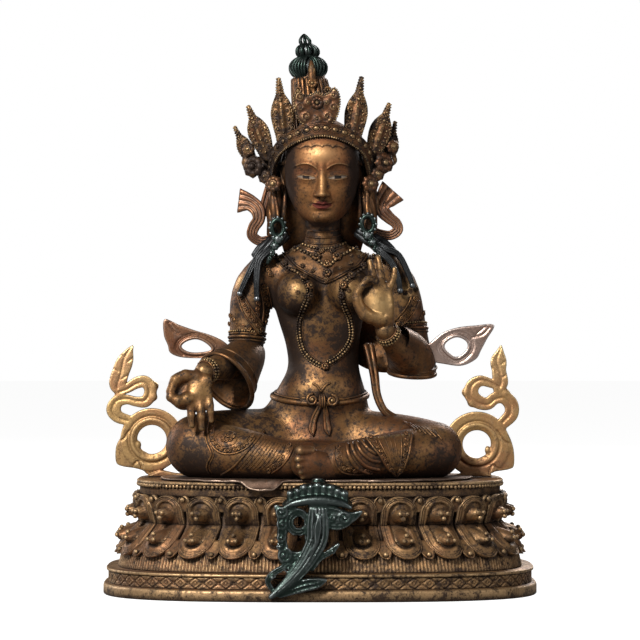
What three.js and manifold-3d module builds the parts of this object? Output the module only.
// A seated Tara on a double lotus plinth: a gilt copper figure with a five-leaved crown, a looped
// scarf end at each elbow, a lotus scroll beside each knee and a lotus footrest before the plinth.
// Millimetres, +Z up, the figure faces -Y, origin at the middle of the plinth's underside.
import * as THREE from "three";
import { mergeVertices } from "three/addons/utils/BufferGeometryUtils.js";
import Module from "manifold-3d";

// Plinth: its plan is a superellipse, and each band stands back from the foot by an inset.
const PLINTH_HALF_WIDTH = 172.5;
const PLINTH_HALF_DEPTH = 115.5;
const PLAN_POWER = 3;
const FOOT_HEIGHT = 9;
const FOOT_ROUNDING = 2;
const DIAPER_HEIGHT = 9.5;
const DIAPER_INSET = 4;
const LEDGE_HEIGHT = 2.5;
const LEDGE_INSET = 2.5;
const FLUTE_HEIGHT = 12;
const FLUTE_INSET = 10;
const LOWER_PETAL_HEIGHT = 24;
const UPPER_PETAL_HEIGHT = 22.5;
const SEAM_INSET = 29;
const NECK_HEIGHT = 5.5;
const NECK_INSET = 29;
const RIM_HEIGHT = 5;
const RIM_INSET = 26.5;
const PETAL_PITCH = 29;
const PETAL_BULGE = 5;
const LOWER_PETAL_REACH = 17; // how far the tips of the lower petals stand out from the seam
const UPPER_PETAL_REACH = 5;

// Figure: drawn on a canon of 356 units from the seat to the tip of the topknot.
const FIGURE_HEIGHT = 356;
const CANON = 356;

// Pieces set on or before the plinth.
const SCROLL_HEIGHT = 105;
const SCROLL_THICKNESS = 5;
const SCROLL_SETBACK = 4; // from the plinth's middle line towards the back
const SCROLL_INSET = 21; // from the rim's side to the scroll's foot
const SCARF_END_THICKNESS = 3.6;
const FOOTREST_THICKNESS = 9;
const CLEARANCE = 0.3; // between pieces that touch

const PLINTH_HEIGHT =
  FOOT_HEIGHT + DIAPER_HEIGHT + LEDGE_HEIGHT + FLUTE_HEIGHT + LOWER_PETAL_HEIGHT +
  UPPER_PETAL_HEIGHT + NECK_HEIGHT + RIM_HEIGHT;

// How finely the solids are faceted.
const PLAN_SEGMENTS = 24;
const LIMB_SIDES = 6;
const MERGE = 1e-4;

const ACROSS = new THREE.Vector3(1, 0, 0);
const BACK = new THREE.Vector3(0, 1, 0);
const UP = new THREE.Vector3(0, 0, 1);

const wasm = await Module();
wasm.setup();

// A closed three.js geometry as a solid for joins and cuts.
function solid(geometry) {
  const bare = geometry.clone();
  for (const name of Object.keys(bare.attributes)) {
    if (name !== "position") bare.deleteAttribute(name);
  }
  const merged = mergeVertices(bare, MERGE);
  return new wasm.Manifold(
    new wasm.Mesh({
      numProp: 3,
      vertProperties: merged.attributes.position.array,
      triVerts: new Uint32Array(merged.index.array),
    }),
  );
}

function join(parts) {
  return parts.flat().reduce((whole, part) => whole.add(part));
}

// The solid's surface as a geometry for a mesh.
function surface(made) {
  const mesh = made.getMesh();
  return new THREE.BufferGeometry()
    .setAttribute("position", new THREE.BufferAttribute(mesh.vertProperties, 3))
    .setIndex(new THREE.BufferAttribute(mesh.triVerts, 1));
}

function middleOf(ring) {
  const sum = new THREE.Vector3();
  for (const point of ring) sum.add(point);
  return sum.divideScalar(ring.length);
}

// A closed solid through rings of equally many points, each end closed over a tip.
function loft(rings, tips = [middleOf(rings[0]), middleOf(rings.at(-1))]) {
  const count = rings[0].length;
  const points = [...rings.flat(), ...tips];
  const last = (rings.length - 1) * count;
  const faces = [];
  for (let i = 0; i < count; i++) {
    const next = (i + 1) % count;
    for (let row = 0; row < last; row += count) faces.push(...quad(row, row + count, i, next));
    faces.push(next, i, points.length - 2, last + i, last + next, points.length - 1);
  }
  return closed(points, faces);
}

// A closed solid with a hole through it, whose last ring joins the first.
function tube(rings) {
  const count = rings[0].length;
  const points = rings.flat();
  const faces = [];
  for (let i = 0; i < count; i++) {
    const next = (i + 1) % count;
    for (let row = 0; row < points.length; row += count) {
      faces.push(...quad(row, (row + count) % points.length, i, next));
    }
  }
  return closed(points, faces);
}

// Two triangles between point i and the next one of two rings that start at row and above.
function quad(row, above, i, next) {
  return [row + i, row + next, above + next, row + i, above + next, above + i];
}

function closed(points, faces) {
  if (volumeOf(points, faces) < 0) faces.reverse();
  const geometry = new THREE.BufferGeometry().setFromPoints(points);
  geometry.setIndex(faces);
  return solid(geometry);
}

function volumeOf(points, faces) {
  let six = 0;
  for (let i = 0; i < faces.length; i += 3) {
    const [a, b, c] = [points[faces[i]], points[faces[i + 1]], points[faces[i + 2]]];
    six += a.dot(b.clone().cross(c));
  }
  return six / 6;
}

// Outlines of a swept section, as [across, out] shares of its half width and half depth.
function roundSection(sides) {
  return Array.from({ length: sides }, (_, i) => {
    const turn = (2 * Math.PI * (i + 0.5)) / sides;
    return [Math.cos(turn), Math.sin(turn)];
  });
}
const ROUND = roundSection(LIMB_SIDES);
const FINGER = roundSection(4).map(([a, b]) => [a * 1.15, b * 1.15]);
const BAND = [[1, 1], [-1, 1], [-0.7, -1], [0.7, -1]];
const RIDGE = [[1.6, 1.6], [-1.6, 1.6], [0, -1]]; // its base lies deep in what it is laid on
const CORD = [[1, 0], [0, 1], [-1, 0], [0, -1]];

// A solid swept through points [x, y, z, half width]. depth is its half depth as a share of the
// half width, or thick sets the half depth outright. facing is the way that its back faces. Each
// end is a dome, a tip or flat.
function sweep(points, options = {}) {
  const { section = ROUND, steps = 1, depth = 1, thick, facing, ends = ["dome", "dome"] } = options;
  const path = new THREE.CatmullRomCurve3(points.map(([x, y, z]) => new THREE.Vector3(x, y, z)));
  const sizes = new THREE.CatmullRomCurve3(points.map((p) => new THREE.Vector3(p[3], 0, 0)));
  const total = (points.length - 1) * steps;
  const stations = [];
  let out = new THREE.Vector3(0.31, 0.94, 0.12);
  for (let i = 0; i <= total; i++) {
    const at = path.getPoint(i / total);
    const along = path.getTangent(i / total);
    if (facing) out = typeof facing === "function" ? facing(at) : facing;
    const side = out.clone().cross(along).normalize();
    out = along.clone().cross(side);
    const wide = sizes.getPoint(i / total).x;
    stations.push({ at, along, side, out, wide, deep: thick ?? wide * depth });
  }
  const ring = ({ at, along, side, out, wide, deep }, share = 1, reach = 0) =>
    section.map(([a, b]) =>
      at.clone()
        .addScaledVector(along, reach * Math.min(wide, deep))
        .addScaledVector(side, a * wide * share)
        .addScaledVector(out, b * deep * share),
    );
  const rings = stations.map((station) => ring(station));
  const tips = [[stations[0], -1], [stations.at(-1), 1]].map(([station, way], i) => {
    const { at, along, wide, deep } = station;
    const dome = ring(station, 0.72, 0.62 * way);
    if (ends[i] === "dome" && i === 0) rings.unshift(dome);
    if (ends[i] === "dome" && i === 1) rings.push(dome);
    const reach = ends[i] === "flat" ? 0 : 0.95 * way * Math.min(wide, deep);
    return at.clone().addScaledVector(along, reach);
  });
  return loft(rings, tips);
}
const FLAT_ENDS = ["flat", "flat"];
const TIP_ENDS = ["tip", "tip"];
const TO_KNEE = ["flat", "dome"];
const FROM_KNEE = ["dome", "flat"];

function ellipsoid([x, y, z], [rx, ry, rz], across = 6, down = 5) {
  const ball = new THREE.SphereGeometry(1, across, down).rotateX(Math.PI / 2);
  return solid(ball.scale(rx, ry, rz).translate(x, y, z));
}

// A flat plate in the X-Z plane from a smooth closed outline of [x, z] points.
function plate(outline, thickness, y, segments = 20) {
  const smooth = new THREE.CatmullRomCurve3(outline.map(([x, z]) => new THREE.Vector3(x, z, 0)), true)
    .getPoints(segments)
    .slice(0, -1)
    .map((p) => new THREE.Vector2(p.x, p.y));
  const shape = new THREE.Shape(smooth);
  const slab = new THREE.ExtrudeGeometry(shape, { depth: thickness, bevelEnabled: false });
  return solid(slab.rotateX(Math.PI / 2).translate(0, y + thickness / 2, 0));
}

// An open ring: its middle, the way its axis points, its radii and its own half thickness.
function hoop([x, y, z], axis, wide, deep, tube, around = 7) {
  const torus = new THREE.TorusGeometry(1, tube / Math.max(wide, deep), 3, around);
  const turn = new THREE.Quaternion().setFromUnitVectors(UP, new THREE.Vector3(...axis).normalize());
  return solid(torus.scale(wide, deep, Math.max(wide, deep)).applyQuaternion(turn).translate(x, y, z));
}

// A ring that sits tight round a limb, as a solid bead with the limb inside it. Its edges lie deep
// in the limb.
function bangle([x, y, z], axis, wide, deep, half, around = 6) {
  const turn = new THREE.Quaternion().setFromUnitVectors(UP, new THREE.Vector3(...axis).normalize());
  const middle = new THREE.Vector3(x, y, z);
  const ring = (level, reach) =>
    roundSection(around).map(([a, b]) =>
      new THREE.Vector3(a * (wide + reach), b * (deep + reach), level).applyQuaternion(turn).add(middle),
    );
  return loft([ring(-2 * half, -3 * half), ring(0, half), ring(2 * half, -3 * half)]);
}

// Plinth

// Angles that split the outermost plan into equal lengths, from the front middle round by the right.
const planAngles = (() => {
  const fine = 2000;
  const lengths = [0];
  const step = (2 * Math.PI) / fine;
  for (let i = 1; i <= fine; i++) {
    lengths.push(lengths[i - 1] + planPoint(i * step, 0).distanceTo(planPoint((i - 1) * step, 0)));
  }
  return { lengths, step };
})();

function planPoint(angle, inset) {
  const bend = (v) => Math.sign(v) * Math.abs(v) ** (2 / PLAN_POWER);
  return new THREE.Vector3(
    (PLINTH_HALF_WIDTH - inset) * bend(Math.sin(angle)),
    -(PLINTH_HALF_DEPTH - inset) * bend(Math.cos(angle)),
    0,
  );
}

// The plan angle at a share of the way round.
function planAngle(share) {
  const { lengths, step } = planAngles;
  const wanted = (((share % 1) + 1) % 1) * lengths.at(-1);
  const after = lengths.findIndex((length) => length > wanted);
  const into = (wanted - lengths[after - 1]) / (lengths[after] - lengths[after - 1]);
  return (after - 1 + into) * step;
}

function planRing(inset, level) {
  return Array.from({ length: PLAN_SEGMENTS }, (_, i) =>
    planPoint(planAngle((i + 0.5) / PLAN_SEGMENTS), inset).setZ(level),
  );
}

// The bands from the foot up: [height, inset at its bottom, inset at its top].
const BANDS = [
  [FOOT_HEIGHT - FOOT_ROUNDING, 0, 0],
  [FOOT_ROUNDING, 0, FOOT_ROUNDING],
  [DIAPER_HEIGHT, DIAPER_INSET, DIAPER_INSET],
  [LEDGE_HEIGHT, LEDGE_INSET, LEDGE_INSET],
  [FLUTE_HEIGHT, FLUTE_INSET, FLUTE_INSET + 2],
  [LOWER_PETAL_HEIGHT, FLUTE_INSET + 6, SEAM_INSET],
  [UPPER_PETAL_HEIGHT, SEAM_INSET, SEAM_INSET - 1],
  [NECK_HEIGHT, NECK_INSET, NECK_INSET],
  [RIM_HEIGHT, RIM_INSET, RIM_INSET],
];
const SEAM_LEVEL = PLINTH_HEIGHT - RIM_HEIGHT - NECK_HEIGHT - UPPER_PETAL_HEIGHT;

function plinthCore() {
  const rings = [];
  let level = 0;
  for (const [height, low, high] of BANDS) {
    const before = rings.at(-1);
    if (!before || before.inset !== low) rings.push({ level, inset: low });
    level += height;
    rings.push({ level, inset: high });
  }
  return loft(rings.map(({ level: z, inset }) => planRing(inset, z)));
}

// A belt of petals round the seam: rows of points that swell at the middle of each petal. The last
// row follows the petals' rounded tips.
const PETAL_TIP = [0.66, 0.92, 1, 0.92];
const PETAL_SWELL = [0.2, 0.85, 1, 0.85];
const PETAL_ROWS = [
  { height: 0.04, lift: 0.4, tipped: false },
  { height: 1, lift: 1, tipped: true },
];
function petalBelt(count, rise, reach) {
  const corners = PETAL_TIP.length;
  const row = ({ height, lift, tipped }) =>
    Array.from({ length: count * corners }, (_, i) => {
      const up = height * (tipped ? PETAL_TIP[i % corners] : 1);
      const out = reach * up + PETAL_BULGE * lift * PETAL_SWELL[i % corners];
      const angle = planAngle((i / corners - 0.5) / count);
      return planPoint(angle, SEAM_INSET - out).setZ(SEAM_LEVEL + rise * up);
    });
  return loft(PETAL_ROWS.map(row));
}

function lotusPlinth() {
  const length = planAngles.lengths.at(-1) - 2 * Math.PI * SEAM_INSET;
  const count = Math.round(length / PETAL_PITCH);
  return join([
    plinthCore(),
    petalBelt(count, UPPER_PETAL_HEIGHT, UPPER_PETAL_REACH),
    petalBelt(count, -LOWER_PETAL_HEIGHT, LOWER_PETAL_REACH),
  ]);
}

// Figure: every size from here to its group is in units of the canon, from the middle of the seat.

// Torso rings: [level, middle x, middle y, half width, half depth].
const TORSO = [
  [0, -4, 10, 46, 32], [20, -4, 9, 50, 34], [50, -3, 8, 43, 29], [66, 0, 6.5, 37, 25],
  [86, 2.6, 5, 29, 21], [104, 2, 4, 29, 20.5], [126, 0.6, 4, 34, 23], [162, 2.5, 4, 45, 23.5],
  [171, 3.5, 4.5, 46, 20.5], [179, 3.5, 5, 34, 16], [186, 3, 4.5, 17, 15], [204, 2, 1, 14, 14],
];
const TORSO_SIDES = 10;
const BREASTS = [[-17.5, -16, 147], [22.5, -16, 149]];
const BREAST_SIZE = [17.5, 19, 18];
const BELLY = [1, -5, 68];
const BELLY_SIZE = [27, 19, 23];

function torso() {
  const rings = TORSO.map(([z, x, y, wide, deep]) =>
    roundSection(TORSO_SIDES).map(([a, b]) => new THREE.Vector3(x + a * wide, y + b * deep, z)),
  );
  const breasts = BREASTS.map((place) => ellipsoid(place, BREAST_SIZE, 7, 4));
  return join([loft(rings), breasts, ellipsoid(BELLY, BELLY_SIZE, 6, 4)]);
}

// Head: rows [level above the chin, half width, reach to the front, reach to the back].
const HEAD_ROWS = [
  [-4, 8, 17, 14], [0, 12, 26.5, 16], [4, 16.4, 29.2, 20], [8.5, 20.8, 30, 22], [11.6, 23, 30.3, 24],
  [13.6, 24, 30.4, 25], [16.5, 25.2, 30.7, 26.5], [22, 27.4, 31, 28.5], [28, 28.8, 31, 30.5],
  [34.5, 29.8, 31, 32], [42, 30, 31.4, 33], [56, 29, 30.5, 33], [72, 22, 22, 26], [81, 9, 9, 11],
];
const HEAD_TURNS = [0, 6, 14, 27, 45, 75, 120, 180, 240, 285, 315, 333, 346, 354];
const HEAD_PLACE = new THREE.Vector3(1.6, -2, 206);
const HEAD_TILT = 0.1;

// The face's relief: how far the surface stands out at x across and z above the chin.
function faceRelief(x, z) {
  const bump = (size, cx, cz, wx, wz) =>
    size * Math.exp(-(((x - cx) / wx) ** 2) - ((z - cz) / wz) ** 2);
  const pair = (size, cx, ...rest) => bump(size, cx, ...rest) + bump(size, -cx, ...rest);
  const { smoothstep, clamp } = THREE.MathUtils;
  const bridge = smoothstep(z, 19.5, 22.5) * (1 - smoothstep(z, 36, 46));
  const ridge = (2 + 6.5 * clamp((41 - z) / 18, 0, 1)) * Math.exp(-((x / 3.1) ** 2));
  const nose = bridge * ridge + pair(1.6, 4.6, 22.6, 2.2, 2);
  const eyes = pair(-2.6, 12.5, 37.5, 8, 4.2) + pair(2.4, 12.5, 34.6, 6, 3);
  const lips = bump(2.6, 0, 15.4, 6, 1.6) + bump(2.8, 0, 11.6, 5, 1.8) + bump(-1.2, 0, 13.6, 8, 0.8);
  return nose + eyes + lips + bump(2.6, 0, 3.6, 6, 4) + pair(1.4, 16, 23, 8, 8);
}

function head() {
  const rows = HEAD_ROWS.map(([z, wide, front, back]) =>
    HEAD_TURNS.map((degrees) => {
      const turn = THREE.MathUtils.degToRad(degrees);
      const x = wide * Math.sin(turn);
      const forward = Math.cos(turn);
      const y = forward > 0 ? -front * forward : -back * forward;
      const relief = forward > 0 ? faceRelief(x, z) * Math.min(1, 2 * forward) : 0;
      return new THREE.Vector3(x, y - relief, z).applyAxisAngle(ACROSS, HEAD_TILT).add(HEAD_PLACE);
    }),
  );
  return loft(rows);
}

// Arms and legs as [x, y, z, radius]. Left and right are the viewer's.
const LIMBS = {
  upperArmLeft: { points: [[-44, 6, 163, 16], [-56, 7, 138, 16.4], [-59, 4, 98, 13.5]], ends: FLAT_ENDS },
  foreArmLeft: { points: [[-60, 3, 92, 13.5], [-72, -22, 90, 12.5], [-92, -56, 84, 7.6]], ends: FLAT_ENDS },
  upperArmRight: { points: [[54, 6, 165, 16], [66, 7, 138, 16.4], [74, 4, 104, 14]], ends: FLAT_ENDS },
  foreArmRight: { points: [[76, 3, 94, 14], [67, -20, 97, 12.5], [50.5, -49, 119, 7.6]], ends: FLAT_ENDS },
  thighLeft: { points: [[-28, 6, 28, 27], [-64, -8, 27, 25], [-98, -31, 26, 21.5]], ends: TO_KNEE },
  shinLeft: { points: [[-97, -36, 22, 19], [-62, -54, 19, 16.5], [-24, -68, 14, 11]], ends: FROM_KNEE },
  thighRight: { points: [[22, 8, 28, 26], [56, -6, 26, 24.5], [90, -29, 23.5, 21.5]], ends: TO_KNEE },
  shinRight: { points: [[90, -36, 21, 19], [54, -55, 18, 16.5], [14, -71, 15, 12]], ends: FROM_KNEE },
  lap: { points: [[-34, -36, 14, 15], [34, -38, 14, 15]], ends: FLAT_ENDS },
};
const FOOT = [[16, -72, 14, 12], [2, -77, 13.5, 12.5], [-11, -80, 13.5, 11.5]];
const FOOT_FLATTENING = 0.62;
const TOES = [[-14, -84, 23, 3.2], [-14.5, -85, 18.4, 2.7], [-14.2, -85, 13.8, 2.6], [-13.6, -84, 9.4, 2.5]];

// Palms, and fingers from the palm to the tip, as [x, y, z, radius].
const PALMS = [
  [[-92.5, -57, 84, 7.4], [-94, -61, 75, 9.3], [-94.5, -62, 64, 8.6]],
  [[50, -50, 122, 7.4], [49, -54, 134, 9.4], [48, -55, 149, 9]],
];
const PALM_FLATTENING = 0.5;
const LEFT_FINGERS = [
  [[-100, -62, 66, 2.7], [-100.6, -64.5, 54, 2.6], [-100, -65, 44.5, 2.2]],
  [[-93, -63, 66, 2.7], [-92.8, -65.5, 54, 2.7], [-92.4, -66, 43.5, 2.2]],
  [[-87, -62, 66, 2.5], [-86.2, -64.5, 57, 2.4], [-85.6, -65, 49.5, 2]],
  [[-100, -59, 82, 3.6], [-112, -62, 79, 3.5], [-117.5, -64.5, 69, 2.7]],
  [[-101, -62, 63, 2.7], [-108, -66.5, 57.5, 2.6], [-117.5, -66.5, 63, 2.3]],
];
const RIGHT_FINGERS = [
  [[44, -54, 126, 4.4], [32, -58, 129, 4], [28.5, -60, 148, 2.6]],
  [[42, -56, 151, 2.7], [35, -61, 157, 2.5], [28.5, -61, 150, 2.3]],
  [[42, -55, 145, 2.7], [40.5, -56, 160, 2.5], [38.6, -55, 170.5, 1.9]],
  [[47, -55, 145, 2.7], [46.4, -56, 161, 2.5], [44.8, -55, 174, 1.9]],
  [[52.5, -54, 144, 2.6], [53.5, -55, 157, 2.3], [51.5, -55, 165, 1.8]],
];

function flesh() {
  const limbs = Object.values(LIMBS).map(({ points, ends }) => sweep(points, { ends }));
  const foot = sweep(FOOT, { depth: FOOT_FLATTENING, facing: BACK });
  const toes = TOES.map(([x, y, z, r]) => ellipsoid([x, y, z], [r * 1.4, r * 1.2, r * 1.2], 4, 2));
  const palm = { section: roundSection(6), depth: PALM_FLATTENING, facing: BACK, ends: FLAT_ENDS };
  const palms = PALMS.map((points) => sweep(points, palm));
  const fingers = [...LEFT_FINGERS, ...RIGHT_FINGERS].map((points) =>
    sweep(points, { section: FINGER, ends: TIP_ENDS }),
  );
  return join([torso(), head(), limbs, foot, toes, palms, fingers]);
}

// Places where rays sent straight back through [x, z] places on a smooth line meet a solid.
function drape(target, places, count, lift) {
  const mesh = new THREE.Mesh(surface(target), new THREE.MeshBasicMaterial());
  const line = new THREE.CatmullRomCurve3(places.map(([x, z]) => new THREE.Vector3(x, 0, z)));
  const ray = new THREE.Raycaster();
  const points = [];
  for (let i = 0; i <= count; i++) {
    ray.set(line.getPoint(i / count).setY(-CANON), BACK);
    const [hit] = ray.intersectObject(mesh);
    if (hit) points.push(hit.point.addScaledVector(hit.face.normal, lift));
  }
  return points;
}

// A raised line laid over a solid: a hem, a chain or a fold.
function laidLine(target, places, { wide = 1.7, thick = 1.5, count = 3 } = {}) {
  const points = drape(target, places, count, thick * 0.3).map((p) => [p.x, p.y, p.z, wide]);
  return sweep(points, { section: RIDGE, thick, facing: BACK, ends: FLAT_ENDS });
}

// Hems and folds over the legs, [x, z] as seen from the front.
const HEMS = [
  [[-88, 47], [-93, 34], [-89, 20], [-80, 8]],
  [[-58, 38], [-46, 34], [-24, 24], [-22, 16]],
  [[11, 24], [12, 14], [22, 6], [36, 4]],
  [[40, 40], [50, 30], [56, 16], [62, 4]],
];
const CHAINS = [
  { places: [[-27, 182], [-14, 171], [4, 163], [22, 171], [34, 183]], wide: 3 },
  { places: [[-36, 170], [-22, 158], [-10, 141], [-17, 118], [-13, 100], [5, 88]], wide: 2.2, count: 5 },
  { places: [[43, 170], [30, 158], [16, 142], [26, 118], [22, 100], [5, 88]], wide: 2.2, count: 5 },
];
// Belt, armlets and bracelets: [middle, axis, half width, half depth, half thickness, sides].
const BANGLES = [
  [[-0.8, 7, 59], [0, 0, 1], 40.5, 27.5, 2.6, 10],
  [[-57.5, 6, 116], [0.05, 0.05, 1], 17.6, 17.6, 2.2],
  [[70, 5.5, 119], [-0.15, 0.05, 1], 17.6, 17.6, 2.2],
  [[-89.5, -52, 85.5], [-0.45, -0.85, -0.2], 10, 10, 2.2],
  [[53, -44.5, 113.5], [-0.45, -0.65, 0.6], 10, 10, 2.2],
];
// Flat ornaments: [middle, half sizes].
const ORNAMENTS = [
  [[-57, -10.5, 131], [9, 3.5, 13]],
  [[69, -9.5, 133], [9, 3.5, 12]],
  [[4.5, -18.5, 167], [5, 4, 7]],
];

function jewellery(body) {
  return join([
    CHAINS.map(({ places, ...size }) => laidLine(body, places, { thick: 2.2, ...size })),
    BANGLES.map((sizes) => bangle(...sizes)),
    ORNAMENTS.map(([middle, sizes]) => ellipsoid(middle, sizes, 5, 3)),
    beltBow(),
  ]);
}

// The belt's bow: its knot, and on each side a loop and a tail as [across, y, z, half width] from it.
const BOW = [1.5, -22, 61];
const BOW_LOOP = { place: 7, size: [5, 3.5, 4.4] };
const BOW_TAIL = [[0, 0, 0, 1.8], [5, 0.5, -20, 2.4], [7, 3, -29, 3]];
const BOW_TAIL_THICKNESS = 4;

function beltBow() {
  const [x, y, z] = BOW;
  const tail = (side) =>
    sweep(BOW_TAIL.map(([u, v, w, wide]) => [x + side * u, y + v, z + w, wide]), {
      section: CORD, thick: BOW_TAIL_THICKNESS / 2, ends: TIP_ENDS,
    });
  const loop = (side) => ellipsoid([x + side * BOW_LOOP.place, y, z], BOW_LOOP.size, 4, 3);
  return join([-1, 1].map((side) => [tail(side), loop(side)]));
}

// The bell-shaped turns of scarf round the forearms, each swept round its arm and hollowed from below.
const BELLS = {
  left: {
    points: [[-57, 12, 100, 12], [-61, 4, 95, 17], [-68, -12, 86, 22], [-71, -22, 79, 23]],
    hollow: [[-74, -27, 76], [19, 17, 20]],
  },
  right: {
    points: [[60, -34, 110, 11], [68, -16, 104, 17], [73, -3, 94, 20], [74, 0, 84, 20]],
    hollow: [[75, 0, 78], [17, 16, 12]],
  },
};
const SHAWL = [[-50, 18, 152, 14], [-14, 27, 144, 17], [24, 26, 120, 18], [62, 10, 100, 12]];
const SHAWL_THICKNESS = 4.8;
const STRIP = [[39, -4, 104, 4], [43, -9, 88, 3.6], [46, -12, 68, 3], [58, -14, 46, 2.8]];

function grown(points, gap) {
  return points.map(([x, y, z, r]) => [x, y, z, r + gap]);
}

function bellTurn({ points }, gap = 0) {
  return sweep(grown(points, gap), { ends: FLAT_ENDS });
}

function scarves() {
  return join([
    Object.values(BELLS).map((bell) => bellTurn(bell).subtract(ellipsoid(...bell.hollow, 7, 5))),
    sweep(SHAWL, { section: BAND, thick: SHAWL_THICKNESS / 2, facing: BACK, ends: FLAT_ENDS }),
    sweep(STRIP, { section: CORD, thick: 2, facing: BACK, ends: FLAT_ENDS }),
  ]);
}

// The flat cloth that the figure sits on, with a wavy front edge.
const SEAT_CLOTH = [
  [-108, -10], [-116, -40], [-92, -66], [-70, -70], [-44, -82], [-20, -78], [10, -84], [44, -80],
  [80, -66], [108, -44], [104, -8], [60, 38], [0, 48], [-60, 38],
];
const SEAT_CLOTH_THICKNESS = 2.4;
function seatCloth() {
  const shape = new THREE.Shape(SEAT_CLOTH.map(([x, y]) => new THREE.Vector2(x, y)));
  return solid(new THREE.ExtrudeGeometry(shape, { depth: SEAT_CLOTH_THICKNESS, bevelEnabled: false }));
}

// Crown

function outward(p) {
  return new THREE.Vector3(p.x - HEAD_PLACE.x, p.y - HEAD_PLACE.y, 0).normalize();
}

// A flame-shaped leaf: half its outline as [share of the height, share of the half width].
const LEAF_EDGE = [[0, 0.5], [0.28, 1], [0.56, 0.78], [0.74, 0.34]];
const LEAF_THICKNESS = 4;
const LEAF_TO_FRONT = 3; // how strongly the leaves turn their broad side to the front
function crownLeaf([foot, tip, halfWidth]) {
  const low = new THREE.Vector3(...foot);
  const high = new THREE.Vector3(...tip);
  const rise = high.clone().sub(low);
  const out = outward(low).setY(-LEAF_TO_FRONT).normalize();
  const side = rise.clone().normalize().cross(out).normalize();
  const at = (v, u) => low.clone().addScaledVector(rise, v).addScaledVector(side, u * halfWidth);
  const edge = (sign) => LEAF_EDGE.map(([v, u]) => at(v, sign * u));
  const outline = [...edge(1), high, ...edge(-1).reverse()];
  const face = (distance) => outline.map((p) => p.clone().addScaledVector(out, distance));
  const middle = low.clone().addScaledVector(rise, 0.36);
  return loft([face(-LEAF_THICKNESS / 2), face(LEAF_THICKNESS / 2)], [
    middle.clone().addScaledVector(out, -LEAF_THICKNESS / 2),
    middle.clone().addScaledVector(out, LEAF_THICKNESS * 1.5),
  ]);
}

// Crown leaves: [foot, tip, half width].
const CROWN_LEAVES = [
  [[-28, -17, 260], [-32.5, -20, 318], 12], [[29, -17, 260], [33, -20, 319], 12],
  [[-42, 0, 252], [-57, -4, 297], 12], [[41, 0, 254], [55, -4, 299], 12],
  [[-50, 8, 247], [-67.5, 7, 281], 9], [[48, 8, 249], [60, 7, 284], 9],
];
const CROWN_BAND = [
  [-34, 2, 234, 4], [-31, -12, 254, 4.5], [-17, -28, 269, 5.5], [1.6, -34, 273, 6],
  [20, -28, 269, 5.5], [34, -12, 255, 4.5], [37, 2, 235, 4],
];
const CROWN_BRANCHES = [
  [[-24, 6, 246, 5], [-44, 6, 252, 5], [-58, 6, 252, 4]],
  [[27, 6, 246, 5], [44, 6, 254, 5], [55, 6, 254, 4]],
];
// Round clusters of petals: [x, y, z, radius].
const ROSETTES = [[-52, -1, 249, 10], [50, -1, 252, 9.5], [-35, -8, 234, 7.5], [38, -8, 234, 7.5]];
const CROWN_DISC = [
  [-20, 290], [-18, 308], [-6, 314], [2, 314], [15, 309], [17, 290], [10, 277], [-13, 277],
];
const CROWN_DISC_PLACE = [-1.5, -34, 295];
const CROWN_DISC_THICKNESS = 5;
const CROWN_BOSS = [7, 6.5, 7];
const CROWN_BAND_THICKNESS = 4.8;
const ROSETTE_DEPTH = 5.5;

function crown() {
  const inward = (p) => outward(p).negate();
  const flat = { section: BAND, thick: CROWN_BAND_THICKNESS / 2, facing: inward, ends: FLAT_ENDS };
  return join([
    sweep(CROWN_BAND, flat),
    plate(CROWN_DISC, CROWN_DISC_THICKNESS, CROWN_DISC_PLACE[1], 16),
    ellipsoid(CROWN_DISC_PLACE, CROWN_BOSS, 6, 4),
    CROWN_LEAVES.map(crownLeaf),
    ROSETTES.map(([x, y, z, r]) => ellipsoid([x, y, z], [r, ROSETTE_DEPTH, r], 6, 3)),
    CROWN_BRANCHES.map((points) => sweep(points, { section: CORD, ends: FLAT_ENDS })),
  ]);
}

// Hair: a cap, the topknot that leans to the left, the fall behind and two locks on each shoulder.
const TOPKNOT = [
  [-3, 1, 268, 18], [-6, 4, 294, 15], [-8, 6, 312, 13.5], [-9.5, 6, 326, 14.5], [-11, 6, 335, 10],
  [-11.4, 6, 339, 6], [-11.8, 6, 344, 8], [-12.8, 6, 350, 4],
];
const HAIR_CAP = [[1.6, 4, 247], [31.5, 32.5, 34]];
const HAIR_BACK = [[1.6, 16, 240, 28], [1.6, 24, 205, 24], [2, 26, 160, 22]];
const HAIR_SIDES = [
  [[-34, 0, 232, 6], [-35, -3, 215, 6.5], [-34, -4, 194, 5]],
  [[37, 0, 232, 6], [38, -3, 215, 6.5], [38, -4, 196, 5]],
];
const LOCKS = [
  [[-38, 2, 190, 4.4], [-47, -5, 177, 4.6], [-62, -11, 147, 3]],
  [[-34, -2, 190, 4.4], [-43, -11, 172, 4.4], [-50, -14, 146, 3]],
  [[40, 2, 191, 4.4], [53, -5, 178, 4.6], [67, -11, 149, 3]],
  [[37, -2, 190, 4.4], [49, -11, 174, 4.4], [61, -13, 149, 3]],
];

function hair() {
  const topknot = sweep(TOPKNOT, { section: roundSection(6), facing: BACK, ends: TIP_ENDS });
  return join([
    ellipsoid(...HAIR_CAP, 8, 5),
    topknot,
    sweep(HAIR_BACK, { section: roundSection(6), depth: 0.4, facing: BACK, ends: FLAT_ENDS }),
    HAIR_SIDES.map((points) => sweep(points, { section: roundSection(5), ends: FLAT_ENDS })),
    LOCKS.map((points) => sweep(points, { section: CORD, ends: TIP_ENDS })),
  ]);
}

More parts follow.
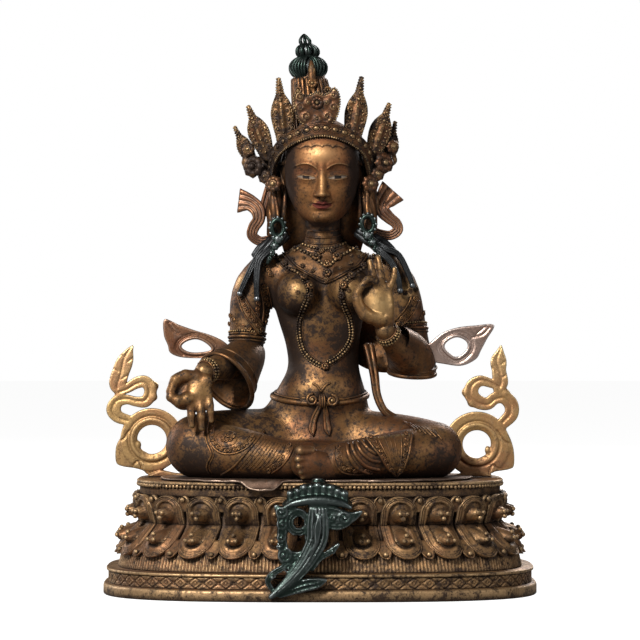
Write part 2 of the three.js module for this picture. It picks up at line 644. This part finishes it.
// Earrings: a ring at each lobe and a drop that swings out over the shoulder, as [share of the
// swing, y, z, half width] from the ring's middle.
const EARRINGS = [{ x: -33, swing: -9, level: 197 }, { x: 38, swing: 11, level: 200 }];
const EARRING_DEPTH = -12;
const EARRING_RING = { wide: 6, high: 6.5, thickness: 4.4 };
const EARRING_DROP = [[0, 0, -5, 2.5], [0.4, -1, -14, 4.6], [1, -1, -25, 2]];
const EARRING_SIDES = 6;

function earring({ x, swing, level }) {
  const { wide, high, thickness } = EARRING_RING;
  const ring = hoop([x, EARRING_DEPTH, level], [0, 1, 0], wide, high, thickness / 2, EARRING_SIDES);
  const drop = EARRING_DROP.map(([share, y, z, half]) => [
    x + swing * share, EARRING_DEPTH + y, level + z, half,
  ]);
  return join([ring, sweep(drop, { section: CORD, ends: TIP_ENDS })]);
}

// Ribbons that wave out from the ears and fan at their ends: [x, z, half width].
const RIBBONS = [
  [[-67, 226, 9.5], [-55, 221, 6], [-47.5, 212, 5], [-54, 199, 4.6], [-52, 188, 4.4], [-34, 188, 4]],
  [[62, 226, 8.5], [53, 222, 6], [47, 215, 5], [60, 203, 4.6], [60, 193, 4.4], [38, 193, 4]],
];
const RIBBON_KNOTS = [
  [[-36, 5, 240, 5], [-44, 6, 226, 5], [-48, 5, 214, 4]],
  [[38, 5, 240, 5], [45, 6, 226, 5], [48, 5, 216, 4]],
];
const RIBBON_DEPTH = 4;
const RIBBON_THICKNESS = 3.6;
function ribbons() {
  const flat = { section: BAND, thick: RIBBON_THICKNESS / 2, facing: BACK, ends: FLAT_ENDS };
  return join([
    RIBBONS.map((points) => sweep(points.map(([x, z, wide]) => [x, RIBBON_DEPTH, z, wide]), flat)),
    RIBBON_KNOTS.map((points) => sweep(points, flat)),
  ]);
}

// The seat is flat: everything below it is cut off.
function belowSeat() {
  return solid(new THREE.BoxGeometry(CANON, CANON, CANON).translate(0, 0, -CANON / 2));
}

function taraFigure() {
  const body = join([flesh(), scarves()]);
  const hems = HEMS.map((places) => laidLine(body, places));
  const dress = [hems, jewellery(body), seatCloth(), crown(), hair(), EARRINGS.map(earring), ribbons()];
  return join([body, ...dress]).subtract(belowSeat());
}

// Scarf ends: flat looped plates beyond the elbows, cut back from the sleeves by the clearance.
const SCARF_ENDS = {
  left: {
    outline: [[-124.6, 127], [-100, 118], [-84, 112], [-72, 105], [-70, 97], [-94, 95.5], [-113, 96],
      [-121, 102], [-125, 113]],
    hole: [[-111, 104], [-106, 109], [-97.5, 111], [-90, 107], [-86, 101], [-96, 99.5]],
    depth: -8,
  },
  right: {
    outline: [[80, 103], [90, 110], [99, 117], [117, 121], [139.5, 122.5], [129, 102], [123, 93],
      [112, 88.5], [98, 91], [84, 92]],
    hole: [[99, 103], [102, 110], [110, 112.5], [118, 108.5], [117.5, 101], [108, 95.5]],
    depth: -6,
  },
};
function scarfEnd(side) {
  const { outline, hole, depth } = SCARF_ENDS[side];
  const whole = plate(outline, SCARF_END_THICKNESS, depth, 22);
  const gap = CLEARANCE * (CANON / FIGURE_HEIGHT);
  const arm = side === "left" ? LIMBS.upperArmLeft : LIMBS.upperArmRight;
  return whole
    .subtract(plate(hole, 2 * SCARF_END_THICKNESS, depth, 12))
    .subtract(bellTurn(BELLS[side], gap))
    .subtract(sweep(grown(arm.points, gap)));
}

// Side scrolls: a ring, a wavy band with [x, z, half width] points, a leaf at its top, a lobe beside the
// ring and a tab under it, from the foot on the plinth's top and drawn for a height of 105.
const SCROLL_CANON = 105;
const SCROLL_LEFT = {
  ring: [-10, 30, 11.6, 25.2],
  band: [[-36, 72, 4], [-26, 74, 4.8], [-14, 78, 4.8], [-8.6, 70.8, 4.8], [-14, 62.6, 4.8], [-38, 60, 5.2],
    [-42, 50, 5.2], [-26, 42.5, 4]],
  leaf: [[-36, 68, 3.4], [-38, 79.6, 5.4], [-33, 94, 6], [-25.4, 104.6, 0.8]],
  lobe: [[-30, 40], [-39, 24], [-40, 11], [-32, 5], [-14, 2], [-10, 16]],
  tab: [[-14, 0], [14, 0], [6, 9], [-14, 9]],
};
const SCROLL_RIGHT = {
  ring: [1, 25.8, 11.2, 25.4],
  band: [[23, 71.6, 4], [12, 75, 4.6], [0, 76.4, 4.8], [-4.4, 69, 4.8], [-1, 60, 4.8], [10, 58, 4.8],
    [24.8, 62, 5.2], [30.4, 53, 5.2], [17, 39, 4]],
  leaf: [[23, 68, 3.4], [21, 81, 6], [19.4, 95, 5.4], [20.5, 104.6, 0.8]],
  lobe: [[18, 38], [29, 26], [30, 10], [22, 4], [6, 1], [4, 16]],
  tab: [[-12, 0], [14, 0], [12, 9], [-8, 9]],
};
const SCROLL_RING_SIDES = 12;

function lotusScroll({ ring: [x, z, inner, outer], band, leaf, lobe, tab }) {
  const half = SCROLL_THICKNESS / 2;
  const shoulder = half * 0.6;
  const middle = (inner + outer) / 2;
  const strip = (points) =>
    sweep(points.map(([px, pz, wide]) => [px, 0, pz, wide]), {
      section: BAND, thick: half, facing: BACK, ends: FLAT_ENDS,
    });
  return join([
    annulus(x, z, [[inner, half], [inner, -shoulder], [middle, -half], [outer, -shoulder], [outer, half]]),
    strip(band),
    strip(leaf),
    slab(lobe, SCROLL_THICKNESS * 0.8),
    slab(tab, SCROLL_THICKNESS * 2),
  ]);
}

// A ring whose axis points to the front, from its section as [radius, depth] points.
function annulus(x, z, section) {
  const rows = section.map(([radius, y]) =>
    Array.from({ length: SCROLL_RING_SIDES }, (_, i) => {
      const turn = (2 * Math.PI * i) / SCROLL_RING_SIDES;
      return new THREE.Vector3(x + radius * Math.cos(turn), y, z + radius * Math.sin(turn));
    }),
  );
  return tube(rows);
}

function slab(outline, thickness) {
  const shape = new THREE.Shape(outline.map((p) => new THREE.Vector2(...p)));
  const flat = new THREE.ExtrudeGeometry(shape, { depth: thickness, bevelEnabled: false });
  return solid(flat.rotateX(Math.PI / 2).translate(0, thickness / 2, 0));
}

// Footrest: a small lotus pad before the rim, held by a tongue on the plinth's top, over pierced leaf
// scrolls that hang in front of the foot moulding. [x, z, half width] from the plinth's top, drawn for
// a plinth 90 high.
const FOOTREST_CANON = 90;
const FOOTREST_PAD = [[-27, -15, 3], [-19, -9, 6.5], [-1.5, -7, 7.5], [15, -9, 6.5], [23, -15, 3]];
const FOOTREST_MIDDLE = -1.5;
const PAD_OVERHANG = 2; // how far the pad stands out before the scrolls
const STAMENS = { count: 7, spread: 18, level: 1, sag: 3, setback: 7, size: [2.6, 3, 3] };
const FOOTREST_STRIPS = [
  [[-2, -8, 13], [-2, -24, 9], [-6, -44, 8.5], [-18, -66, 7.5], [-37, -86, 2.5]],
  [[-4, -14, 5], [-22, -17, 5], [-33, -27, 5], [-30, -44, 4.5], [-22, -66, 5]],
  [[4, -14, 5], [16, -17, 5], [30, -17, 3]],
  [[-2, -38, 4], [8, -50, 4.5], [14, -53, 2.5]],
  [[-18, -62, 4], [-8, -71, 5], [2, -75, 3]],
  [[-22, -60, 3], [-34, -66, 4.5], [-37, -77, 2.5]],
];
// Curled leaf ends: [x, z, outer radius, radius of the hole].
const FOOTREST_CURLS = [[-17, -29, 8, 3], [-33, -25, 7, 2], [19, -27, 9, 3], [-29, -56, 6.5, 2]];
const TONGUE_HALF_WIDTH = 8;
const TONGUE_THICKNESS = 3;
const TONGUE_REACH = 4; // how far the tongue lies on the plinth's top
const TONGUE_SLOPE = [3, 9]; // where it bends down before the rim
const TONGUE_DROP = 6;

function lotusFootrest() {
  const drop = PLINTH_HEIGHT / FOOTREST_CANON;
  const rim = -(PLINTH_HALF_DEPTH - RIM_INSET);
  const padBack = -(PLINTH_HALF_DEPTH - SEAM_INSET + UPPER_PETAL_REACH + PETAL_BULGE + CLEARANCE);
  const front = -(PLINTH_HALF_DEPTH + CLEARANCE + FOOTREST_THICKNESS / 2);
  const padFront = front - FOOTREST_THICKNESS / 2 - PAD_OVERHANG;
  const padMiddle = (padBack + padFront) / 2;
  const placed = (points, y) => points.map(([x, z, wide]) => [x, y, z * drop, wide]);
  const flat = { section: BAND, thick: FOOTREST_THICKNESS / 2, facing: BACK, ends: FLAT_ENDS };
  const pad = sweep(placed(FOOTREST_PAD, padMiddle), {
    ...flat, section: roundSection(6), thick: padMiddle - padFront,
  });
  const curls = FOOTREST_CURLS.map(([x, z, outer, hole]) => {
    const radius = (outer + hole) / 2;
    return hoop([x, front, z * drop], [0, 1, 0], radius, radius, (outer - hole) / 2);
  });
  const strips = FOOTREST_STRIPS.map((points) => sweep(placed(points, front), flat));
  return join([pad, stamens(padFront, drop), tongue(padMiddle, rim), strips, curls]);
}

// A row of stamens along the pad's front edge, lower towards the sides.
function stamens(padFront, drop) {
  const { count, spread, level, sag, setback, size } = STAMENS;
  return Array.from({ length: count }, (_, i) => {
    const share = (2 * i) / (count - 1) - 1;
    const z = (level - sag * share * share) * drop;
    return ellipsoid([FOOTREST_MIDDLE + spread * share, padFront + setback, z], size, 4, 2);
  });
}

// The tongue that runs from inside the pad over the rim and lies on the plinth's top.
function tongue(start, rim) {
  const half = TONGUE_THICKNESS / 2;
  const lying = CLEARANCE + half;
  const [low, high] = TONGUE_SLOPE;
  const bends = [rim - high, rim - low, rim + TONGUE_REACH];
  const route = [[start, -TONGUE_DROP], ...bends.map((y) => [y, lying])];
  return sweep(route.map(([y, z]) => [FOOTREST_MIDDLE, y, z, TONGUE_HALF_WIDTH]), {
    section: BAND, thick: half, facing: UP, ends: FLAT_ENDS,
  });
}

// Assembly

function named(name, made, colour, roughness, metalness = 0.9) {
  const material = new THREE.MeshStandardMaterial({ color: colour, roughness, metalness });
  const mesh = new THREE.Mesh(surface(made), material);
  mesh.name = name;
  return mesh;
}

const group = new THREE.Group();
group.add(named("lotus_plinth", lotusPlinth(), 0x7a5228, 0.42));

const figure = new THREE.Group();
figure.position.z = PLINTH_HEIGHT + CLEARANCE;
figure.scale.setScalar(FIGURE_HEIGHT / CANON);
figure.add(named("tara_figure", taraFigure(), 0x7d5226, 0.36));
figure.add(named("scarf_end_left", scarfEnd("left"), 0x7c5436, 0.4));
figure.add(named("scarf_end_right", scarfEnd("right"), 0xb9a294, 0.35));
group.add(figure);

function placeScroll(name, drawing, x) {
  const scroll = named(name, lotusScroll(drawing), 0xb98a4c, 0.4);
  scroll.scale.setScalar(SCROLL_HEIGHT / SCROLL_CANON);
  scroll.position.set(x, SCROLL_SETBACK, PLINTH_HEIGHT + CLEARANCE);
  group.add(scroll);
}
const SCROLL_PLACE = PLINTH_HALF_WIDTH - RIM_INSET - SCROLL_INSET;
placeScroll("lotus_scroll_left", SCROLL_LEFT, -SCROLL_PLACE);
placeScroll("lotus_scroll_right", SCROLL_RIGHT, SCROLL_PLACE);

const footrest = named("lotus_footrest", lotusFootrest(), 0x1d2a24, 0.45);
footrest.position.z = PLINTH_HEIGHT;
group.add(footrest);

export default group;
